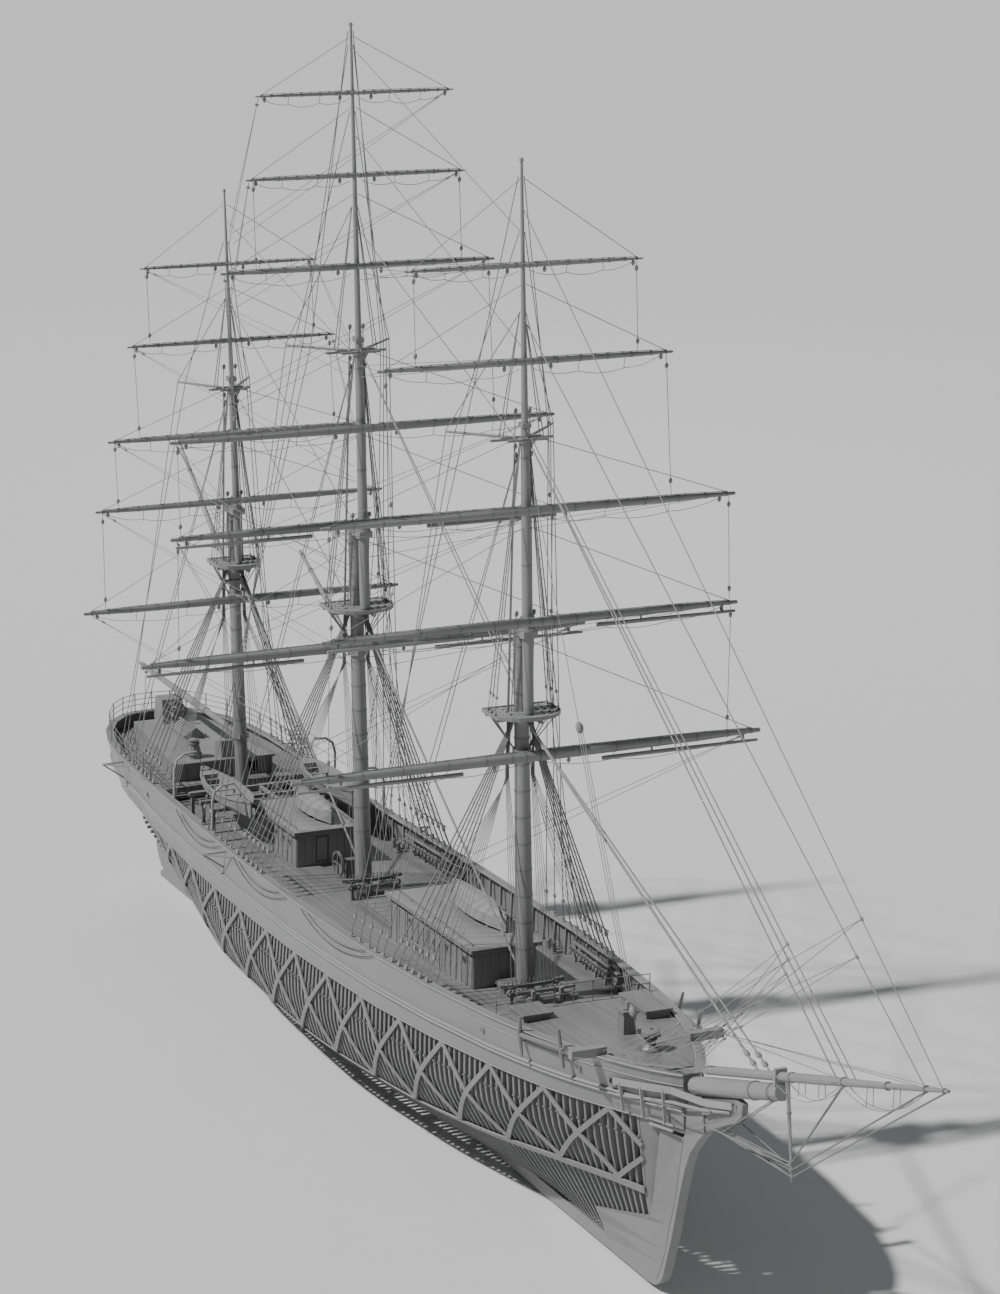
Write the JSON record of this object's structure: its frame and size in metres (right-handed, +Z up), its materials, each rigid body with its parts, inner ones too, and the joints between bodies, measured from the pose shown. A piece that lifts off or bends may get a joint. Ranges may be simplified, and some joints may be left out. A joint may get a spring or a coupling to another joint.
{
  "type": "three-masted sailing ship model",
  "caption": "Full-rigged composite sailing ship with its planking off below the sheer plates, showing frames and diagonal straps, with decks, houses, boats, masts and swinging yards.",
  "frame": {"origin": "amidships on the centre line, on the load waterline", "axes": "+X to the bow, +Y to port, +Z up"},
  "size_m": [8.897, 2.4, 5.1942],
  "materials": {
    "hull_timber": "matt grey",
    "frames": "matt grey",
    "plating": "satin grey",
    "deck": "matt grey",
    "joinery": "matt grey",
    "spar": "matt grey",
    "iron": "matt grey",
    "rope": "matt grey"
  },
  "bodies": {
    "ship": {"keel_stem_and_counter": "hull_timber", "head_knee": "hull_timber", "windlass_bitts": "hull_timber", "lifeboats_on_skids": "hull_timber", "frames": "frames", "straps_starboard": "frames", "straps_port": "frames", "sheer_plating": "plating", "main_deck": "deck", "fore_hatch": "deck", "lower_deck": "deck", "forecastle_deck": "deck", "quarterdeck": "deck", "fore_deckhouse_walls": "joinery", "fore_deckhouse_roof": "joinery", "aft_deckhouse_walls": "joinery", "aft_deckhouse_roof": "joinery", "upturned_boat_fore": "joinery", "upturned_boat_aft": "joinery", "poop_cabin": "joinery", "bowsprit": "spar", "jib_boom": "spar", "fore_lower_mast": "spar", "main_lower_mast": "spar", "mizzen_lower_mast": "spar", "fore_upper_mast": "spar", "main_upper_mast": "spar", "mizzen_upper_mast": "spar", "main_winch": "iron", "anchor_starboard": "iron", "anchor_port": "iron", "fore_shrouds_and_stay": "rope", "main_shrouds_and_stay": "rope", "mizzen_shrouds_and_stay": "rope"},
    "fore_course": {"fore_course_yard": "spar"},
    "fore_lower_topsail": {"fore_lower_topsail_yard": "spar"},
    "fore_upper_topsail": {"fore_upper_topsail_yard": "spar"},
    "fore_topgallant": {"fore_topgallant_yard": "spar"},
    "fore_royal": {"fore_royal_yard": "spar"},
    "main_course": {"main_course_yard": "spar"},
    "main_lower_topsail": {"main_lower_topsail_yard": "spar"},
    "main_upper_topsail": {"main_upper_topsail_yard": "spar"},
    "main_topgallant": {"main_topgallant_yard": "spar"},
    "main_royal": {"main_royal_yard": "spar"},
    "main_skysail": {"main_skysail_yard": "spar"},
    "mizzen_course": {"mizzen_course_yard": "spar"},
    "mizzen_lower_topsail": {"mizzen_lower_topsail_yard": "spar"},
    "mizzen_upper_topsail": {"mizzen_upper_topsail_yard": "spar"},
    "mizzen_topgallant": {"mizzen_topgallant_yard": "spar"},
    "mizzen_royal": {"mizzen_royal_yard": "spar"},
    "rudder": {"rudder": "hull_timber"},
    "wheel": {"steering_wheel": "joinery"},
    "windlass": {"windlass_barrel": "iron"},
    "pump": {"pump_flywheel": "iron"},
    "capstan": {"capstan": "iron"},
    "fore_door": {"fore_deckhouse_door": "joinery"},
    "aft_door": {"aft_deckhouse_door": "joinery"},
    "spanker_boom": {"spanker_boom": "spar"},
    "spanker_gaff": {"spanker_gaff": "spar"},
    "main_gaff": {"main_gaff": "spar"}
  },
  "joints": [
    {"name": "fore_course_brace", "type": "hinge", "parent": "ship", "child": "fore_course", "pos_m": [1.41796, 0, 1.359], "axis": [-0.0792, 0, 0.9969], "range_deg": [-30, 30]},
    {"name": "fore_lower_topsail_brace", "type": "hinge", "parent": "ship", "child": "fore_lower_topsail", "pos_m": [1.44445, 0, 1.995], "axis": [-0.0792, 0, 0.9969], "range_deg": [-30, 30]},
    {"name": "fore_upper_topsail_brace", "type": "hinge", "parent": "ship", "child": "fore_upper_topsail", "pos_m": [1.4038, 0, 2.507], "axis": [-0.0792, 0, 0.9969], "range_deg": [-30, 30]},
    {"name": "fore_topgallant_brace", "type": "hinge", "parent": "ship", "child": "fore_topgallant", "pos_m": [1.3506, 0, 3.177], "axis": [-0.0792, 0, 0.9969], "range_deg": [-30, 30]},
    {"name": "fore_royal_brace", "type": "hinge", "parent": "ship", "child": "fore_royal", "pos_m": [1.31622, 0, 3.61], "axis": [-0.0792, 0, 0.9969], "range_deg": [-30, 30]},
    {"name": "main_course_brace", "type": "hinge", "parent": "ship", "child": "main_course", "pos_m": [-0.51215, 0, 1.412], "axis": [-0.0891, 0, 0.996], "range_deg": [-30, 30]},
    {"name": "main_lower_topsail_brace", "type": "hinge", "parent": "ship", "child": "main_lower_topsail", "pos_m": [-0.45886, 0, 2.035], "axis": [-0.0891, 0, 0.996], "range_deg": [-30, 30]},
    {"name": "main_upper_topsail_brace", "type": "hinge", "parent": "ship", "child": "main_upper_topsail", "pos_m": [-0.50106, 0, 2.507], "axis": [-0.0891, 0, 0.996], "range_deg": [-30, 30]},
    {"name": "main_topgallant_brace", "type": "hinge", "parent": "ship", "child": "main_topgallant", "pos_m": [-0.57207, 0, 3.301], "axis": [-0.0891, 0, 0.996], "range_deg": [-30, 30]},
    {"name": "main_royal_brace", "type": "hinge", "parent": "ship", "child": "main_royal", "pos_m": [-0.61168, 0, 3.744], "axis": [-0.0891, 0, 0.996], "range_deg": [-30, 30]},
    {"name": "main_skysail_brace", "type": "hinge", "parent": "ship", "child": "main_skysail", "pos_m": [-0.64745, 0, 4.144], "axis": [-0.0891, 0, 0.996], "range_deg": [-30, 30]},
    {"name": "mizzen_course_brace", "type": "hinge", "parent": "ship", "child": "mizzen_course", "pos_m": [-2.19826, 0, 1.237], "axis": [-0.1103, 0, 0.9939], "range_deg": [-30, 30]},
    {"name": "mizzen_lower_topsail_brace", "type": "hinge", "parent": "ship", "child": "mizzen_lower_topsail", "pos_m": [-2.18494, 0, 1.775], "axis": [-0.1103, 0, 0.9939], "range_deg": [-30, 30]},
    {"name": "mizzen_upper_topsail_brace", "type": "hinge", "parent": "ship", "child": "mizzen_upper_topsail", "pos_m": [-2.22488, 0, 2.135], "axis": [-0.1103, 0, 0.9939], "range_deg": [-30, 30]},
    {"name": "mizzen_topgallant_brace", "type": "hinge", "parent": "ship", "child": "mizzen_topgallant", "pos_m": [-2.27901, 0, 2.623], "axis": [-0.1103, 0, 0.9939], "range_deg": [-30, 30]},
    {"name": "mizzen_royal_brace", "type": "hinge", "parent": "ship", "child": "mizzen_royal", "pos_m": [-2.32405, 0, 3.029], "axis": [-0.1103, 0, 0.9939], "range_deg": [-30, 30]},
    {"name": "rudder_turn", "type": "hinge", "parent": "ship", "child": "rudder", "pos_m": [-3.275, 0, -0.4], "axis": [0, 0, 1], "range_deg": [-35, 35]},
    {"name": "wheel_turn", "type": "hinge", "parent": "ship", "child": "wheel", "pos_m": [-3.1, 0, 0.33], "axis": [1, 0, 0], "range_deg": [-421, 421]},
    {"name": "windlass_turn", "type": "hinge", "parent": "ship", "child": "windlass", "pos_m": [1.733, 0, 0.24641], "axis": [0, 1, 0], "continuous": true},
    {"name": "pump_turn", "type": "hinge", "parent": "ship", "child": "pump", "pos_m": [-0.59, 0, 0.19457], "axis": [0, 1, 0], "continuous": true},
    {"name": "capstan_turn", "type": "hinge", "parent": "ship", "child": "capstan", "pos_m": [2.775, 0, 0.36714], "axis": [0, 0, 1], "continuous": true},
    {"name": "fore_door_hinge", "type": "hinge", "parent": "ship", "child": "fore_door", "pos_m": [0.465, -0.18239, 0.2325], "axis": [0, 0, 1], "range_deg": [-100, 0]},
    {"name": "aft_door_hinge", "type": "hinge", "parent": "ship", "child": "aft_door", "pos_m": [-0.9, -0.05, 0.17872], "axis": [0, 0, 1], "range_deg": [-100, 0]},
    {"name": "spanker_boom_swing", "type": "hinge", "parent": "ship", "child": "spanker_boom", "pos_m": [-2.11163, 0, 0.456], "axis": [-0.1103, 0, 0.9939], "range_deg": [-28, 28]},
    {"name": "spanker_gaff_swing", "type": "hinge", "parent": "ship", "child": "spanker_gaff", "pos_m": [-2.20547, 0, 1.302], "axis": [-0.1103, 0, 0.9939], "range_deg": [-25, 25]},
    {"name": "main_gaff_swing", "type": "hinge", "parent": "ship", "child": "main_gaff", "pos_m": [-0.50571, 0, 1.34], "axis": [-0.0891, 0, 0.996], "range_deg": [-25, 25]}
  ],
  "couplings": [
    {"joint": "fore_lower_topsail_brace", "follows": "fore_course_brace", "ratio": 1},
    {"joint": "fore_upper_topsail_brace", "follows": "fore_course_brace", "ratio": 1},
    {"joint": "fore_topgallant_brace", "follows": "fore_course_brace", "ratio": 1},
    {"joint": "fore_royal_brace", "follows": "fore_course_brace", "ratio": 1},
    {"joint": "main_lower_topsail_brace", "follows": "main_course_brace", "ratio": 1},
    {"joint": "main_upper_topsail_brace", "follows": "main_course_brace", "ratio": 1},
    {"joint": "main_topgallant_brace", "follows": "main_course_brace", "ratio": 1},
    {"joint": "main_royal_brace", "follows": "main_course_brace", "ratio": 1},
    {"joint": "main_skysail_brace", "follows": "main_course_brace", "ratio": 1},
    {"joint": "mizzen_lower_topsail_brace", "follows": "mizzen_course_brace", "ratio": 1},
    {"joint": "mizzen_upper_topsail_brace", "follows": "mizzen_course_brace", "ratio": 1},
    {"joint": "mizzen_topgallant_brace", "follows": "mizzen_course_brace", "ratio": 1},
    {"joint": "mizzen_royal_brace", "follows": "mizzen_course_brace", "ratio": 1},
    {"joint": "wheel_turn", "follows": "rudder_turn", "ratio": 12}
  ]
}
